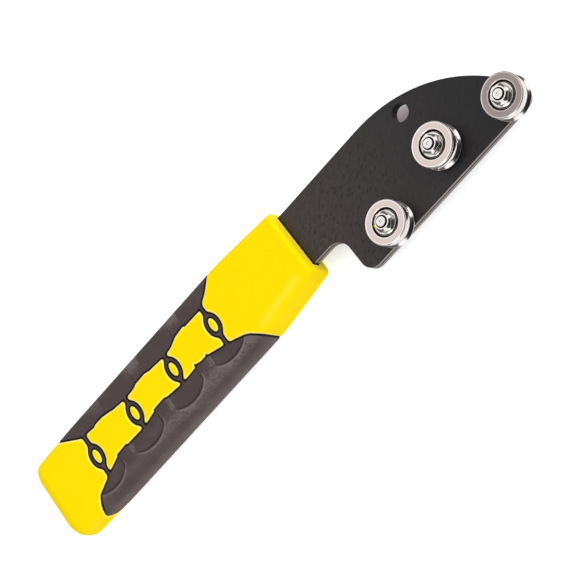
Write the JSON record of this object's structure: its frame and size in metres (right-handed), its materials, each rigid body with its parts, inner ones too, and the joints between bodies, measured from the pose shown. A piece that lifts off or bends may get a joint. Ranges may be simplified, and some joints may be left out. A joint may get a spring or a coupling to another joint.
{
  "type": "wire straightener",
  "caption": "Hand tool that pulls wire through grooved ball-bearing rollers on a flat steel head, with a two-colour moulded handle.",
  "frame": {"origin": "bottom centre of the box round the whole tool, in the plane of the handle's back face", "axes": "+X along the tool towards the head's tip, +Y from the roller line towards the arched back, +Z from the handle's back towards the rollers"},
  "size_m": [0.193, 0.0394, 0.0162],
  "materials": {
    "head_black": "black powder coat, satin",
    "handle_yellow": "semi-gloss moulded",
    "grip_rubber": "fine stipple, matte",
    "roller_chrome": "polished groove, ground faces",
    "shield_steel": "pressed, satin",
    "bearing_steel": "ground",
    "cage_nylon": "natural nylon",
    "bolt_zinc": "bright zinc plate"
  },
  "bodies": {
    "root": {"head_plate": "head_black", "handle_core": "handle_yellow", "grip_overmould": "grip_rubber", "roller_1_bolt": "bolt_zinc", "roller_1_spacer": "bolt_zinc", "roller_1_inner_ring": "bearing_steel", "roller_1_washer": "bolt_zinc", "roller_1_nut": "bolt_zinc", "roller_2_bolt": "bolt_zinc", "roller_2_spacer": "bolt_zinc", "roller_2_inner_ring": "bearing_steel", "roller_2_washer": "bolt_zinc", "roller_2_nut": "bolt_zinc", "roller_3_bolt": "bolt_zinc", "roller_3_spacer": "bolt_zinc", "roller_3_inner_ring": "bearing_steel", "roller_3_washer": "bolt_zinc", "roller_3_nut": "bolt_zinc"},
    "roller_1": {"roller_1_outer_ring": "roller_chrome", "roller_1_front_shield": "shield_steel", "roller_1_rear_shield": "shield_steel"},
    "cage_1": {"roller_1_cage": "cage_nylon", "roller_1_balls": "bearing_steel"},
    "roller_2": {"roller_2_outer_ring": "roller_chrome", "roller_2_front_shield": "shield_steel", "roller_2_rear_shield": "shield_steel"},
    "cage_2": {"roller_2_cage": "cage_nylon", "roller_2_balls": "bearing_steel"},
    "roller_3": {"roller_3_outer_ring": "roller_chrome", "roller_3_front_shield": "shield_steel", "roller_3_rear_shield": "shield_steel"},
    "cage_3": {"roller_3_cage": "cage_nylon", "roller_3_balls": "bearing_steel"}
  },
  "joints": [
    {"name": "roller_1_spin", "type": "hinge", "parent": "root", "child": "roller_1", "pos_m": [0.04195, -0.0132, 0.0113], "axis": [0, 0, 1], "continuous": true},
    {"name": "roller_1_cage_spin", "type": "hinge", "parent": "root", "child": "cage_1", "pos_m": [0.04195, -0.0132, 0.0113], "axis": [0, 0, 1], "continuous": true},
    {"name": "roller_2_spin", "type": "hinge", "parent": "root", "child": "roller_2", "pos_m": [0.06635, -0.0077, 0.0113], "axis": [0, 0, 1], "continuous": true},
    {"name": "roller_2_cage_spin", "type": "hinge", "parent": "root", "child": "cage_2", "pos_m": [0.06635, -0.0077, 0.0113], "axis": [0, 0, 1], "continuous": true},
    {"name": "roller_3_spin", "type": "hinge", "parent": "root", "child": "roller_3", "pos_m": [0.08995, -0.0132, 0.0113], "axis": [0, 0, 1], "continuous": true},
    {"name": "roller_3_cage_spin", "type": "hinge", "parent": "root", "child": "cage_3", "pos_m": [0.08995, -0.0132, 0.0113], "axis": [0, 0, 1], "continuous": true}
  ],
  "couplings": [
    {"joint": "roller_1_cage_spin", "follows": "roller_1_spin", "ratio": 0.63233},
    {"joint": "roller_2_cage_spin", "follows": "roller_2_spin", "ratio": 0.63233},
    {"joint": "roller_3_cage_spin", "follows": "roller_3_spin", "ratio": 0.63233}
  ]
}
